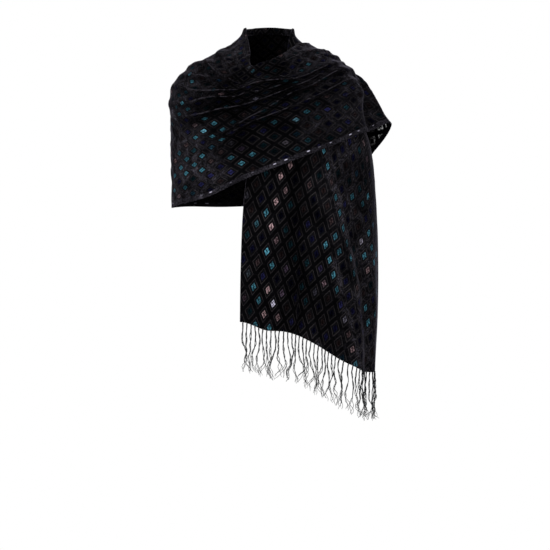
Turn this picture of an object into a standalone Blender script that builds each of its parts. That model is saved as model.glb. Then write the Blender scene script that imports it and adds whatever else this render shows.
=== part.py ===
"""Evening stole of patterned velvet, worn: one long cloth with a fringe at each end.

The front end hangs down the front on the wearer's left. From there the cloth goes over the left
shoulder, behind the neck, over the right shoulder and arm, across the chest, and over the left
shoulder again, so that its other end hangs down the back.

Metres, +Z up. The wearer faces -Y, with the left side at +X. The origin is between the shoulders,
at the base of the neck, where the wearer holds the stole up.
"""

from collections import namedtuple

import bmesh
import bpy
import numpy as np
from mathutils import Vector

MM = 0.001

# Driving sizes
WALL = 2.0 * MM
SEAM_GAP = 0.3 * MM
FRINGE_GAP = 0.5 * MM
FRINGE_LENGTH = 105 * MM
FRINGE_BAND = 4.0 * MM
FRINGE_STRANDS = 40
STRAND_WIDTH = 2.0 * MM
STRAND_STEPS = 3
STRAND_SWAY = 2.5 * MM
SWAY_BETWEEN_STRANDS = 1.7
SWAY_BETWEEN_STEPS = 1.9

# Rings of a general figure, from the neck rim down. Half widths, depths and heights in mm.
Ring = namedtuple("Ring", "name left right front back z_side z_front z_back squareness")
RINGS = [
    Ring("neck rim", 46, 47, 46, 50, 62, 44, 70, 2.0),
    Ring("neck root", 60, 57, 60, 64, 44, 12, 46, 2.0),
    Ring("slope", 97, 92, 84, 88, 16, -16, 10, 2.1),
    Ring("shoulder", 156, 137, 104, 106, -14, -48, -30, 2.2),
    Ring("deltoid", 192, 172, 118, 115, -58, -92, -80, 2.3),
    Ring("upper arm", 196, 188, 128, 119, -120, -148, -142, 2.4),
    Ring("bust", 195, 208, 132, 119, -190, -206, -205, 2.5),
    Ring("waist", 192, 217, 129, 116, -290, -290, -290, 2.5),
    Ring("hip", 190, 221, 124, 112, -400, -400, -400, 2.5),
    Ring("thigh", 190, 220, 120, 108, -520, -520, -520, 2.5),
    Ring("fingertip", 190, 214, 118, 106, -640, -640, -640, 2.5),
]

# Sections across the cloth, in order along its length. Each runs from the neck edge to the outer
# edge in a straight line of azimuth and ring. Azimuths are degrees, counted on as the cloth winds
# round: 270 and 630 are the front, 360 and 720 the wearer's left, 450 the back, 540 the right.
# Lifts in mm hold the cloth off the figure or off the layer under it.
Section = namedtuple("Section", "name neck_az neck_ring outer_az outer_ring neck_lift outer_lift")
SECTIONS = [
    Section("front hem", 254.5, 9.08, 350, 9.94, 0, 0),
    Section("thigh", 255, 8.20, 352, 9.05, 0, 0),
    Section("hip", 256, 7.35, 354, 8.20, 0, 0),
    Section("waist", 258, 6.55, 357, 7.45, 0, 0),
    Section("bust", 262, 5.40, 361, 6.95, 0, 0),
    Section("chest", 270, 3.90, 367, 6.70, 0, 0),
    Section("collar", 290, 2.10, 375, 6.60, 0, 0),
    Section("throat", 322, 0.75, 385, 6.60, 0, 0),
    Section("left shoulder", 355, 0.00, 397, 6.62, 0, 0),
    Section("left blade", 385, 0.00, 412, 6.70, 0, 0),
    Section("left back", 415, 0.00, 430, 6.85, 0, 0),
    Section("nape", 450, 0.00, 452, 7.00, 0, 0),
    Section("right back", 485, 0.00, 475, 7.05, 0, 0),
    Section("right blade", 515, 0.00, 500, 7.05, 0, 0),
    Section("right shoulder", 540, 0.00, 525, 7.08, 0, 2),
    Section("right arm", 560, 0.00, 550, 7.10, 2, 5),
    Section("right front", 598.5, 1.49, 572, 7.06, 9, 8),
    Section("vee", 613, 2.46, 596, 6.92, 11, 10),
    Section("throat front", 623, 2.20, 618, 6.52, 13, 12),
    Section("chest front", 645, 1.78, 640, 6.14, 13, 14),
    Section("left chest", 669, 1.48, 661, 5.79, 10, 14),
    Section("left front", 690, 1.45, 681, 5.52, 8, 14),
    Section("left arm", 707, 1.60, 697, 5.42, 8, 12),
    Section("flute", 722, 1.65, 705, 5.40, 8, 7),
    Section("flare", 742, 1.75, 716, 5.26, 8, 58),
    Section("over the back", 758, 2.20, 746, 5.95, 8, 24),
    Section("back fall", 775, 3.00, 753, 6.45, 8, 12),
    Section("blade fall", 788, 4.20, 756, 6.95, 8, 9),
    Section("waist fall", 795, 5.50, 758, 7.50, 8, 8),
    Section("back hem", 798, 6.60, 759, 8.00, 8, 8),
]

# Largest folds. Each follows a curve through three places on the cloth, where a place is a section
# number and a share of the way from the neck edge to the outer edge. Heights at the three places
# and half widths are mm: above is the half width on the neck edge's side of the curve and below
# the one on the outer edge's side.
Fold = namedtuple("Fold", "name s0 t0 s1 t1 s2 t2 rise0 rise1 rise2 above below")
FOLDS = [
    Fold("front end overlap", -1.0, 0.29, 1.0, 0.29, 3.4, 0.27, 7, 6, 2, 46, 12),
    Fold("front end step", -1.0, 0.40, 1.0, 0.38, 3.2, 0.33, -9, -8, -2, 14, 26),
    Fold("front end main fold", -1.0, 0.76, 1.9, 0.60, 4.6, 0.38, 15, 13, 4, 34, 18),
    Fold("front end side trough", -1.0, 0.89, 1.6, 0.77, 3.6, 0.62, -9, -8, -3, 16, 14),
    Fold("front end side fold", -1.0, 0.97, 1.2, 0.89, 3.4, 0.78, 9, 8, 3, 14, 18),
    Fold("shoulder to shoulder fold", 16.0, 0.41, 18.5, 0.26, 22.6, 0.36, 8, 11, 11, 14, 21),
    Fold("upper arm fold", 15.9, 0.57, 17.2, 0.39, 19.3, 0.34, 8, 9, 4, 14, 19),
    Fold("breast fold", 17.6, 0.55, 19.2, 0.41, 22.8, 0.47, 8, 11, 11, 14, 20),
    Fold("side breast fold", 18.9, 0.56, 20.4, 0.53, 23.0, 0.58, 7, 9, 9, 14, 20),
    Fold("collar fold", 18.4, 0.08, 20.4, 0.12, 22.8, 0.20, 4, 7, 9, 14, 18),
    Fold("neck crumple", 14.9, 0.20, 16.2, 0.15, 17.2, 0.12, 6, 7, 4, 14, 16),
    Fold("nape swag 1", 9.0, 0.34, 11.5, 0.40, 14.0, 0.30, 4, 6, 6, 20, 34),
    Fold("nape swag 2", 9.0, 0.55, 11.5, 0.64, 14.2, 0.46, 4, 6, 7, 22, 38),
    Fold("back end fold 1", 24.0, 0.18, 27.0, 0.16, 30.0, 0.16, 5, 9, 12, 20, 26),
    Fold("back end fold 2", 24.0, 0.42, 27.0, 0.44, 30.0, 0.46, 6, 10, 14, 20, 30),
    Fold("back end fold 3", 24.4, 0.68, 27.0, 0.72, 30.0, 0.74, 6, 9, 13, 20, 26),
]

# Distances on the cloth that the folds' half widths are measured by: from one section to the next,
# and from the neck edge to the outer edge.
SECTION_STEP = 68 * MM
CLOTH_SPAN = 400 * MM
FOLD_END = 55 * MM
FOLD_SAMPLES = 25

# The front hem drops a little near its inner corner and steps down between two shares of the
# width. Both fade out up the cloth.
HEM_CORNER_TO = 0.17
HEM_CORNER_AMOUNT = 0.15
HEM_STEP_FROM = 0.22
HEM_STEP_TO = 0.77
HEM_STEP_AMOUNT = 0.75
HEM_STEP_SECTIONS = 4.0

# How late across the width a section's lift goes from the neck edge's to the outer edge's.
LIFT_POWER = 2.4

# The stretches of the wound cloth that show, each a solid of its own, by section number.
Stretch = namedtuple("Stretch", "name first last rows columns")
STRETCHES = [
    Stretch("front_end", 0, 8, 30, 24),
    Stretch("neck_wrap", 8, 14.5, 22, 18),
    Stretch("chest_wrap", 14.5, 24.6, 42, 28),
    Stretch("back_end", 24.6, 29, 16, 16),
]
SECTION_SAMPLES = 81


def numbers_of(rows):
    """The number columns of a table, as an array."""
    return np.array([row[1:] for row in rows], float)


def between_rows(table, at):
    """Values between the rows of a table, on a smooth curve through them."""
    at = np.atleast_1d(np.asarray(at, float))
    last = len(table) - 1
    i = np.clip(np.floor(at).astype(int), 0, last - 1)
    f = (at - i)[:, None]
    p1, p2 = table[i], table[i + 1]
    p0 = np.where(i[:, None] > 0, table[np.maximum(i - 1, 0)], 2 * p1 - p2)
    p3 = np.where(i[:, None] < last - 1, table[np.minimum(i + 2, last)], 2 * p2 - p1)
    return p1 + f * (
        (p2 - p0) / 2
        + f * ((2 * p0 - 5 * p1 + 4 * p2 - p3) / 2 + f * (3 * p1 - p0 - 3 * p2 + p3) / 2)
    )


RING_TABLE = numbers_of(RINGS)
SECTION_TABLE = numbers_of(SECTIONS)


def figure_points(azimuth, ring):
    """Points of the general figure at azimuths in degrees and ring numbers."""
    left, right, front, back, z_side, z_front, z_back, square = between_rows(RING_TABLE, ring).T
    angle = np.radians(azimuth)
    c, s = np.cos(angle), np.sin(angle)
    grow = (np.abs(c) ** square + np.abs(s) ** square) ** (-1 / square)
    to_right = (1 + c * np.abs(c) ** 0.5) / 2
    x = (left + (right - left) * to_right) * c * grow
    y = np.where(s > 0, back, front) * s * grow
    z = z_side * c**2 + np.where(s > 0, z_back, z_front) * s**2
    return np.stack([x, y, z], axis=-1) * MM


def figure_normals(azimuth, ring):
    """Outward unit normals of the figure."""
    da, dr = 0.5, 0.02
    round_it = figure_points(azimuth + da, ring) - figure_points(azimuth - da, ring)
    down_it = figure_points(azimuth, ring + dr) - figure_points(azimuth, ring - dr)
    out = np.cross(down_it, round_it)
    return out / np.linalg.norm(out, axis=-1, keepdims=True)


def curve_through(first, middle, last, at):
    """The quadratic curve that has three values at 0, a half and 1."""
    return (
        first * (1 - at) * (1 - 2 * at) + middle * 4 * at * (1 - at) + last * at * (2 * at - 1)
    )


def fold_rise(section, share):
    """How far the folds move the cloth outwards, in metres, at a section number and shares across."""
    total = np.zeros_like(share)
    here = np.stack([np.full_like(share, section * SECTION_STEP), share * CLOTH_SPAN], axis=-1)
    along = np.linspace(0, 1, FOLD_SAMPLES)
    for fold in FOLDS:
        path_s = curve_through(fold.s0, fold.s1, fold.s2, along) * SECTION_STEP
        path_t = curve_through(fold.t0, fold.t1, fold.t2, along) * CLOTH_SPAN
        path = np.stack([path_s, path_t], axis=-1)
        heading = np.gradient(path, axis=0)
        heading /= np.linalg.norm(heading, axis=1, keepdims=True)
        offset = here[:, None] - path[None]
        nearest = np.linalg.norm(offset, axis=2).argmin(axis=1)
        offset = np.take_along_axis(offset, nearest[:, None, None], axis=1)[:, 0]
        ahead = heading[nearest]
        side = ahead[:, 0] * offset[:, 1] - ahead[:, 1] * offset[:, 0]
        beyond = np.abs((ahead * offset).sum(axis=1))
        past = np.where((nearest == 0) | (nearest == FOLD_SAMPLES - 1), beyond, 0)
        fade = np.clip(1 - past / FOLD_END, 0, 1)
        reach = np.where(side < 0, fold.above, fold.below) * MM
        height = curve_through(fold.rise0, fold.rise1, fold.rise2, along[nearest]) * MM
        total += height * np.exp(-((side / reach) ** 2)) * fade**2 * (3 - 2 * fade)
    return total


def smooth(value, low, high):
    """Goes from 0 at one value to 1 at another, level at both."""
    at = np.clip((value - low) / (high - low), 0, 1)
    return at**2 * (3 - 2 * at)


def hem_line(section, share):
    """Shares of the way down from the neck edge's ring to the outer one: the front hem is stepped."""
    stepped = HEM_STEP_AMOUNT * smooth(share, HEM_STEP_FROM, HEM_STEP_TO)
    stepped = stepped + HEM_CORNER_AMOUNT * smooth(share, 0, HEM_CORNER_TO)
    stepped = stepped + (1 - HEM_STEP_AMOUNT - HEM_CORNER_AMOUNT) * share
    much = np.clip(1 - section / HEM_STEP_SECTIONS, 0, 1)
    return share + (stepped - share) * much


def section_points(section, shares):
    """Points of the cloth's middle surface on one section, at shares of its width."""
    row = between_rows(SECTION_TABLE, section)[0]
    neck_az, neck_ring, outer_az, outer_ring, neck_lift, outer_lift = row
    fine = np.linspace(0, 1, SECTION_SAMPLES)
    line = figure_points(
        neck_az + (outer_az - neck_az) * fine,
        neck_ring + (outer_ring - neck_ring) * hem_line(section, fine),
    )
    steps = np.linalg.norm(np.diff(line, axis=0), axis=1)
    length = np.concatenate([[0], np.cumsum(steps)])
    at = np.interp(np.asarray(shares) * length[-1], length, fine)
    azimuth = neck_az + (outer_az - neck_az) * at
    ring = neck_ring + (outer_ring - neck_ring) * hem_line(section, at)
    lift = (neck_lift + (outer_lift - neck_lift) * at**LIFT_POWER) * MM
    out = figure_normals(azimuth, ring)
    rise = lift + fold_rise(section, np.asarray(shares))
    return figure_points(azimuth, ring) + out * rise[:, None]


def material(name, colour, roughness):
    """A plain material of one colour."""
    made = bpy.data.materials.new(name)
    made.use_nodes = True
    shader = made.node_tree.nodes["Principled BSDF"]
    shader.inputs["Base Color"].default_value = (*colour, 1)
    shader.inputs["Roughness"].default_value = roughness
    shader.inputs["Metallic"].default_value = 0.0
    made.diffuse_color = (*colour, 1)
    return made


def finished(name, mesh_maker, look):
    """A new object from a bmesh, shaded smooth."""
    mesh = bpy.data.meshes.new(name)
    mesh_maker.to_mesh(mesh)
    mesh_maker.free()
    mesh.shade_smooth()
    mesh.materials.append(look)
    made = bpy.data.objects.new(name, mesh)
    bpy.context.scene.collection.objects.link(made)
    return made


def drawn_in(row, next_row, gap):
    """A row of points moved a short way towards the next row."""
    way = next_row - row
    return row + way / np.linalg.norm(way, axis=1, keepdims=True) * gap


def cloth_stretch(stretch, look):
    """One stretch of the cloth, as a wall of even thickness."""
    sections = np.linspace(stretch.first, stretch.last, stretch.rows + 1)
    shares = np.linspace(0, 1, stretch.columns + 1)
    points = np.array([section_points(s, shares) for s in sections])
    points[0] = drawn_in(points[0], points[1], SEAM_GAP / 2)
    points[-1] = drawn_in(points[-1], points[-2], SEAM_GAP / 2)
    grid = bmesh.new()
    bmesh.ops.create_grid(
        grid, x_segments=stretch.columns, y_segments=stretch.rows, size=0.5
    )
    for vertex in grid.verts:
        column = round((vertex.co.x + 0.5) * stretch.columns)
        row = round((vertex.co.y + 0.5) * stretch.rows)
        vertex.co = points[row, column]
    made = finished(stretch.name, grid, look)
    wall = made.modifiers.new("wall", "SOLIDIFY")
    wall.thickness = WALL
    wall.offset = 0
    wall.use_even_offset = True
    return made


def along_row(row, shares):
    """Points at shares of the way along a row of evenly spaced points."""
    even = np.linspace(0, 1, len(row))
    return np.stack([np.interp(shares, even, row[:, axis]) for axis in range(3)], axis=-1)


def fringe(name, end_section, inner_section, columns, look):
    """A narrow band along one end of the cloth, with its strands drawn down out of it."""
    middles = (np.arange(FRINGE_STRANDS) + 0.5) / FRINGE_STRANDS
    half = STRAND_WIDTH / 2 / CLOTH_SPAN
    shares = np.sort(np.concatenate([middles - half, middles + half]))
    even = np.linspace(0, 1, columns + 1)
    edge = along_row(section_points(end_section, even), shares)
    run = np.gradient(edge, axis=0)
    run /= np.linalg.norm(run, axis=1, keepdims=True)
    away = edge - along_row(section_points(inner_section, even), shares)
    away -= run * (run * away).sum(axis=1, keepdims=True)
    away /= np.linalg.norm(away, axis=1, keepdims=True)
    through = np.cross(run, away)
    cells = len(shares) - 1
    band = bmesh.new()
    column = band.verts.layers.int.new("column")
    bmesh.ops.create_grid(band, x_segments=cells, y_segments=1, size=0.5)
    roots = sorted(band.faces, key=lambda face: face.calc_center_median().x)
    for vertex in band.verts:
        i = round((vertex.co.x + 0.5) * cells)
        side = WALL / 2 if vertex.co.y > 0 else -WALL / 2
        vertex[column] = i
        vertex.co = edge[i] + away[i] * (FRINGE_GAP + FRINGE_BAND) + through[i] * side
    raised = bmesh.ops.extrude_face_region(band, geom=roots, use_keep_orig=True)
    for vertex in raised["geom"]:
        if isinstance(vertex, bmesh.types.BMVert):
            vertex.co -= Vector(away[vertex[column]] * FRINGE_BAND)
    bmesh.ops.recalc_face_normals(band, faces=band.faces)
    for number, root in enumerate(roots[::2]):
        draw_strand(band, root, number)
    return finished(name, band, look)


def draw_strand(band, root, number):
    """Extrudes one face of the band down into a strand that hangs with a slight wave."""
    tip = root
    step = (FRINGE_LENGTH - FRINGE_BAND) / STRAND_STEPS
    for level in range(STRAND_STEPS):
        tip = bmesh.ops.extrude_discrete_faces(band, faces=[tip])["faces"][0]
        phase = number * SWAY_BETWEEN_STRANDS + level * SWAY_BETWEEN_STEPS
        sway = Vector((np.sin(phase), np.cos(phase * SWAY_BETWEEN_STRANDS), 0)) * STRAND_SWAY
        bmesh.ops.translate(band, verts=tip.verts, vec=sway - Vector((0, 0, step)))


def main():
    for old in list(bpy.data.objects):
        bpy.data.objects.remove(old)
    velvet = material("velvet", (0.018, 0.017, 0.021), 0.85)
    yarn = material("fringe_yarn", (0.05, 0.055, 0.06), 0.5)
    for stretch in STRETCHES:
        cloth_stretch(stretch, velvet)
    last = len(SECTIONS) - 1
    fringe("front_fringe", 0, 0.2, STRETCHES[0].columns, yarn)
    fringe("back_fringe", last, last - 0.2, STRETCHES[-1].columns, yarn)


main()
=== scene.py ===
"""Looks for an evening stole worn as a wrap: burnt-out velvet, its two fringes, and a studio."""

import math
from collections import namedtuple

import bmesh
import bpy
import numpy as np
from bpy.props import FloatProperty, FloatVectorProperty, IntProperty, PointerProperty
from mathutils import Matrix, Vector, noise


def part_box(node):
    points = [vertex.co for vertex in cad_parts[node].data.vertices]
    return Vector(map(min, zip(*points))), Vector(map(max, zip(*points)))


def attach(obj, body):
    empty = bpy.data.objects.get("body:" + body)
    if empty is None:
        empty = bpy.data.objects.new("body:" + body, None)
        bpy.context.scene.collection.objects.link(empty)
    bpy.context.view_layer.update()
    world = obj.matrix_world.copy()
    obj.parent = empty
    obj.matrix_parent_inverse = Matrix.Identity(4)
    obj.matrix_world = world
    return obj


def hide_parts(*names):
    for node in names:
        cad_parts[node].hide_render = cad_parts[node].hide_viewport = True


bl_info = {
    "name": "Evening Stole",
    "version": (1, 0, 0),
    "blender": (4, 5, 0),
    "location": "3D View > Sidebar > Stole",
    "description": "Builds the cloth, the fringes and the studio of a worn velvet stole",
    "category": "Object",
}

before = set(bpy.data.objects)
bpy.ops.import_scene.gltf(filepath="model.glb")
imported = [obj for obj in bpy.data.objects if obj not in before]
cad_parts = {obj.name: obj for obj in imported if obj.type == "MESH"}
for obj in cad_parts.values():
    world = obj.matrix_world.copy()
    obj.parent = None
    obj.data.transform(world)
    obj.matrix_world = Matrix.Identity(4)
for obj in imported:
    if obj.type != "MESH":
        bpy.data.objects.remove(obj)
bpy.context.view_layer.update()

MM = 0.001
BODY = "root"
CLOTH_NODES = ("front_end", "neck_wrap", "chest_wrap", "back_end")

# Grid of the cloth: rows along its length and columns across it. A few more columns are turned
# under along the neck edge, and TURNED_BEYOND says how far past that edge each of them lies.
CLOTH_ROWS = 450
CLOTH_COLUMNS = 96
TURNED_RADIUS = 1.8 * MM
TURNED_WIDTH = 12 * MM
TURNED_BEYOND = np.array((16, 10, 4, 2)) * MM

# Rings of a general figure, from the neck rim down. Half widths, depths and heights in mm.
Ring = namedtuple("Ring", "name left right front back z_side z_front z_back squareness")
RINGS = [Ring(*row) for row in (
    ("neck rim", 51, 51, 46, 50, 62, 44, 70, 2.0),
    ("neck root", 60, 57, 60, 64, 44, 12, 46, 2.0),
    ("slope", 97, 92, 84, 88, 16, -16, 10, 2.1),
    ("shoulder", 156, 137, 104, 106, -14, -48, -30, 2.2),
    ("deltoid", 192, 172, 118, 115, -58, -92, -80, 2.3),
    ("upper arm", 196, 188, 128, 119, -120, -148, -142, 2.4),
    ("bust", 195, 208, 132, 119, -190, -206, -205, 2.5),
    ("waist", 192, 217, 129, 116, -290, -290, -290, 2.5),
    ("hip", 190, 221, 124, 112, -400, -400, -400, 2.5),
    ("thigh", 190, 220, 120, 108, -520, -520, -520, 2.5),
    ("fingertip", 190, 214, 118, 106, -640, -640, -640, 2.5),
)]

# Sections across the cloth, in order along its length, from the neck edge to the outer edge.
# Azimuths in degrees count on as the cloth winds round. Lifts off the figure are mm.
Section = namedtuple("Section", "name neck_az neck_ring outer_az outer_ring neck_lift outer_lift")
SECTIONS = [Section(*row) for row in (
    ("front hem", 254.5, 9.08, 350, 9.94, 0, 0),
    ("thigh", 255, 8.20, 352, 9.05, 0, 0),
    ("hip", 256, 7.35, 354, 8.20, 0, 0),
    ("waist", 258, 6.55, 357, 7.45, 0, 0),
    ("bust", 262, 5.40, 361, 6.95, 0, 0),
    ("chest", 270, 3.90, 367, 6.70, 0, 0),
    ("collar", 290, 2.10, 375, 6.60, 0, 0),
    ("throat", 322, 0.75, 385, 6.60, 0, 0),
    ("left shoulder", 355, 0.00, 397, 6.62, 0, 0),
    ("left blade", 385, 0.00, 412, 6.70, 0, 0),
    ("left back", 415, 0.00, 430, 6.85, 0, 0),
    ("nape", 450, 0.00, 452, 7.00, 0, 0),
    ("right back", 485, 0.00, 475, 7.05, 0, 0),
    ("right blade", 515, 0.00, 500, 7.05, 0, 0),
    ("right shoulder", 540, 0.00, 525, 7.08, 0, 2),
    ("right arm", 560, 0.00, 550, 7.10, 2, 5),
    ("right front", 598.5, 1.49, 572, 7.06, 9, 8),
    ("vee", 613, 2.46, 596, 6.92, 11, 10),
    ("throat front", 623, 2.20, 618, 6.52, 13, 12),
    ("chest front", 645, 1.78, 640, 6.14, 13, 14),
    ("left chest", 669, 1.48, 661, 5.79, 10, 14),
    ("left front", 690, 1.45, 681, 5.52, 8, 14),
    ("left arm", 707, 1.60, 697, 5.42, 8, 12),
    ("flute", 722, 1.65, 705, 5.44, 8, 7),
    ("flare", 742, 1.75, 716, 5.40, 8, 54),
    ("over the back", 758, 2.20, 746, 5.95, 8, 24),
    ("back fall", 775, 3.00, 753, 6.45, 8, 12),
    ("blade fall", 788, 4.20, 756, 6.95, 8, 9),
    ("waist fall", 795, 5.50, 758, 7.50, 8, 8),
    ("back hem", 798, 6.60, 759, 8.00, 8, 8),
)]
LAST_SECTION = len(SECTIONS) - 1
SECTION_SAMPLES = 81
SECTION_STEP = 68 * MM
LIFT_POWER = 2.4

# The front hem steps down between two shares of the width, and a little at its inner corner.
# Both steps fade out up the cloth.
HEM_STEP_FROM = 0.22
HEM_STEP_TO = 0.77
HEM_STEP_AMOUNT = 0.75
HEM_CORNER_TO = 0.17
HEM_CORNER_AMOUNT = 0.15
HEM_STEP_SECTIONS = 4.0

# Folds and creases. Each follows a smooth line through places on the cloth, where a place is a
# section number and a share of the way from the neck edge to the outer edge. Rises at its start,
# middle and end, and reaches towards the neck edge (above) and the outer edge (below), are mm.
# Crispness is 1 for a narrow crest and 2 for a soft round one. Lean tips the crest downwards.
Crease = namedtuple("Crease", "name places rises above below crispness lean")
CREASES = [Crease(*row) for row in (
    ("front overlap", ((-1, 0.335), (1, 0.33), (3.6, 0.30)), (7, 6, 1), 44, 4, 2.0, 0),
    ("front step", ((-1, 0.352), (1, 0.347), (3.4, 0.315)), (-8, -7, -1), 4, 24, 2.0, 0),
    ("front main fold",
     ((-1, 0.86), (0.5, 0.77), (1.3, 0.715), (1.6, 0.66), (2.1, 0.59), (2.7, 0.535),
      (3.3, 0.455), (4.0, 0.37), (4.8, 0.28)),
     (14, 17, 10), 26, 18, 1.7, 0),
    ("front low fold",
     ((-1, 0.80), (0.35, 0.69), (0.75, 0.635), (1.2, 0.565), (1.65, 0.51), (2.3, 0.44)),
     (16, 12, 2), 22, 15, 1.7, 0),
    ("side trough", ((-1, 0.88), (1.6, 0.75), (3.6, 0.61)), (-6, -5, -2), 16, 13, 2.0, 0),
    ("side fold", ((-1, 0.96), (1.2, 0.88), (3.4, 0.77)), (6, 5, 2), 14, 17, 2.0, 0),
    ("left panel ripple", ((-1, 0.12), (1.6, 0.14), (4.4, 0.16)), (3, 2, 0), 16, 20, 2.0, 0),
    ("mid panel ripple", ((-1, 0.56), (1.4, 0.38), (3.6, 0.34)), (4, 3, 1), 14, 16, 2.0, 0),
    ("shoulder line",
     ((14.4, 0.42), (15.34, 0.36), (15.95, 0.28), (16.56, 0.18), (17.6, 0.15)),
     (3, 7, 3), 6, 15, 1.2, 3),
    ("shoulder to shoulder",
     ((14.3, 0.48), (15.84, 0.38), (16.84, 0.24), (17.76, 0.21), (18.34, 0.21), (19.09, 0.27),
      (19.7, 0.30), (21.04, 0.33), (23.2, 0.36)),
     (3, 11, 4), 6, 17, 1.1, 4),
    ("arm line",
     ((14.3, 0.54), (15.78, 0.46), (16.7, 0.29), (17.59, 0.27), (18.31, 0.29), (19.5, 0.28)),
     (2.5, 8, 3), 6, 15, 1.15, 3),
    ("lower arm line",
     ((14.9, 0.60), (16.09, 0.49), (16.98, 0.35), (17.9, 0.36), (18.56, 0.35), (19.34, 0.35),
      (20.4, 0.37)),
     (3, 9, 4), 6, 17, 1.1, 4),
    ("breast line",
     ((16.7, 0.56), (17.76, 0.49), (18.34, 0.45), (19.04, 0.39), (19.51, 0.40), (20.09, 0.40),
      (21.26, 0.42), (23.2, 0.43)),
     (7, 12, 4), 6, 18, 1.1, 4),
    ("side breast line",
     ((17.0, 0.57), (18.03, 0.53), (19.01, 0.52), (19.7, 0.51), (20.54, 0.51), (23.0, 0.55)),
     (6, 9, 7), 6, 18, 1.15, 3),
    ("lower breast line", ((20.2, 0.63), (21.3, 0.62), (23.2, 0.67)), (3, 6, 5), 9, 18, 1.5, 1),
    ("shoulder fill", ((21.6, 0.42), (22.9, 0.50), (24.4, 0.60)), (2, 6, 3), 24, 22, 2.0, 0),
    ("flare fill", ((22.2, 0.70), (23.2, 0.72), (24.8, 0.78)), (3, 7, 4), 34, 34, 2.0, 0),
    ("collar line", ((18.2, 0.07), (20.2, 0.11), (23.4, 0.20)), (3, 7, 8), 8, 17, 1.3, 2),
    ("upper collar line", ((20.4, 0.22), (21.6, 0.24), (23.9, 0.29)), (3, 6, 6), 6, 12, 1.3, 2),
    ("neck crumple 1", ((14.6, 0.12), (15.4, 0.17), (16.5, 0.10)), (5, 7, 4), 9, 12, 1.5, 1),
    ("neck crumple 2", ((14.9, 0.26), (15.8, 0.24), (16.9, 0.16)), (5, 7, 4), 8, 12, 1.4, 1),
    ("neck crumple 3", ((14.2, 0.34), (15.2, 0.30), (16.1, 0.19)), (4, 6, 3), 8, 12, 1.4, 1),
    ("arm dent 1", ((15.0, 0.68), (15.9, 0.62), (17.0, 0.66)), (-3, -5, -2), 12, 12, 2.0, 0),
    ("arm dent 2", ((15.2, 0.83), (16.2, 0.77), (17.4, 0.80)), (-2, -4, -2), 12, 14, 2.0, 0),
    ("nape swag 1", ((8.6, 0.20), (11.5, 0.27), (14.4, 0.18)), (5, 7, 5), 9, 18, 1.4, 2),
    ("nape swag 2", ((8.8, 0.34), (11.5, 0.42), (14.3, 0.31)), (6, 9, 6), 10, 22, 1.3, 3),
    ("nape swag 3", ((8.8, 0.47), (11.3, 0.57), (14.4, 0.46)), (6, 9, 7), 11, 24, 1.3, 3),
    ("nape swag 4", ((9.0, 0.62), (11.6, 0.73), (14.6, 0.60)), (4, 7, 5), 12, 24, 1.5, 2),
    ("blade line", ((12.2, 0.37), (13.6, 0.38), (14.9, 0.42)), (2, 6, 4), 8, 14, 1.3, 2),
    ("back fold 1", ((24.2, 0.15), (26.5, 0.16), (30, 0.15)), (5, 9, 13), 16, 22, 1.7, 0),
    ("back fold 2", ((24.2, 0.40), (26.5, 0.43), (30, 0.44)), (6, 10, 14), 16, 22, 1.7, 0),
    ("back fold 3", ((24.5, 0.67), (27.0, 0.71), (30, 0.74)), (6, 9, 13), 16, 20, 1.7, 0),
    ("back trough 1", ((24.6, 0.28), (27.0, 0.29), (30, 0.30)), (-3, -4, -5), 12, 12, 2.0, 0),
    ("back trough 2", ((24.6, 0.55), (27.0, 0.57), (30, 0.59)), (-3, -4, -5), 12, 12, 2.0, 0),
)]

# How round a crest is, how many sections its ends take to fade, and how uneven it is. Where noise
# is called further down, numbers such as 7.3 only keep one unevenness apart from the next.
CREST_RADIUS = 2.2 * MM
CREASE_END = 0.75
CREASE_PAST_END = 0.01
CREASE_WANDER = 2.2 * MM
CREASE_UNEVEN = 0.28
WANDER_MUCH = 1.6
RISE_WANDERS = 1.3
LINE_WANDERS = 0.9

# Small crumples: where they lie (section and share, with how far they spread), how high they
# are, and how long and how wide, all in mm.
Crumple = namedtuple("Crumple", "name section share sections shares height long wide")
CRUMPLES = [Crumple(*row) for row in (
    ("beside the neck", 15.6, 0.14, 1.7, 0.24, 3.6, 46, 20),
    ("upper arm", 16.0, 0.55, 1.7, 0.40, 2.4, 60, 24),
    ("lower arm", 15.6, 0.90, 2.0, 0.30, 1.8, 50, 34),
    ("breast", 20.5, 0.45, 3.4, 0.36, 1.2, 110, 16),
    ("thrown shoulder", 23.0, 0.35, 2.0, 0.40, 2.2, 60, 18),
    ("back", 11.5, 0.50, 4.2, 0.60, 1.8, 90, 30),
    ("front end", 2.2, 0.60, 3.8, 0.60, 1.1, 120, 30),
    ("back end", 27.0, 0.50, 3.5, 0.70, 1.3, 110, 26),
)]
CRUMPLE_TOP = 0.5
CRUMPLE_RIDGE = 2.2

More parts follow.
